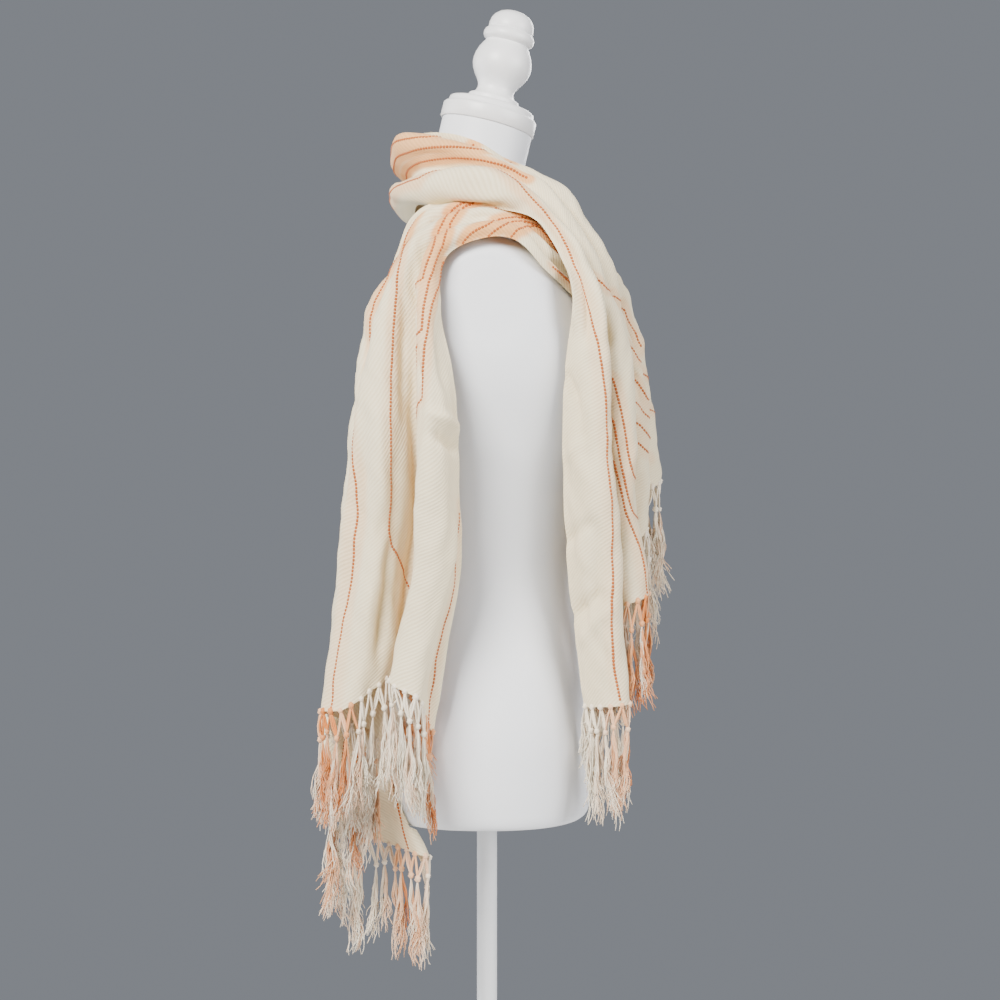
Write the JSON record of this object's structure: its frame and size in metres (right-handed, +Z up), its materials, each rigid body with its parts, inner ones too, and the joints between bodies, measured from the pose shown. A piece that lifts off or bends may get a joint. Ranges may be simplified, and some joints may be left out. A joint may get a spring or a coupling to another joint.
{
  "type": "fringed scarf on a limbless dress form",
  "caption": "Long woven scarf with striped twill cloth and knotted fringe, wound round a limbless dress form on a pole stand.",
  "frame": {"origin": "on the floor, at the centre of the round foot's underside, on the pole's axis", "axes": "+Z up along the pole, +X the way the form faces, +Y the form's left side"},
  "size_m": [0.3406, 0.4048, 1.3276],
  "materials": {
    "scarf_cloth": "fine ivory twill with dashed orange lines on peach bands, matte",
    "scarf_fringe": "knotted and loose yarn, ivory, peach and orange, matte",
    "form_cover": "tight smooth white jersey cover",
    "white_paint": "satin white paint"
  },
  "bodies": {
    "root": {"torso": "form_cover", "neck_cap": "white_paint", "finial": "white_paint", "pole": "white_paint", "pole_collar": "white_paint", "foot": "white_paint", "back_fall": "scarf_cloth", "shoulder_band": "scarf_cloth", "chest_cowl": "scarf_cloth", "neck_roll": "scarf_cloth", "front_fall": "scarf_cloth", "fringe_back": "scarf_fringe", "fringe_front": "scarf_fringe"}
  },
  "joints": []
}
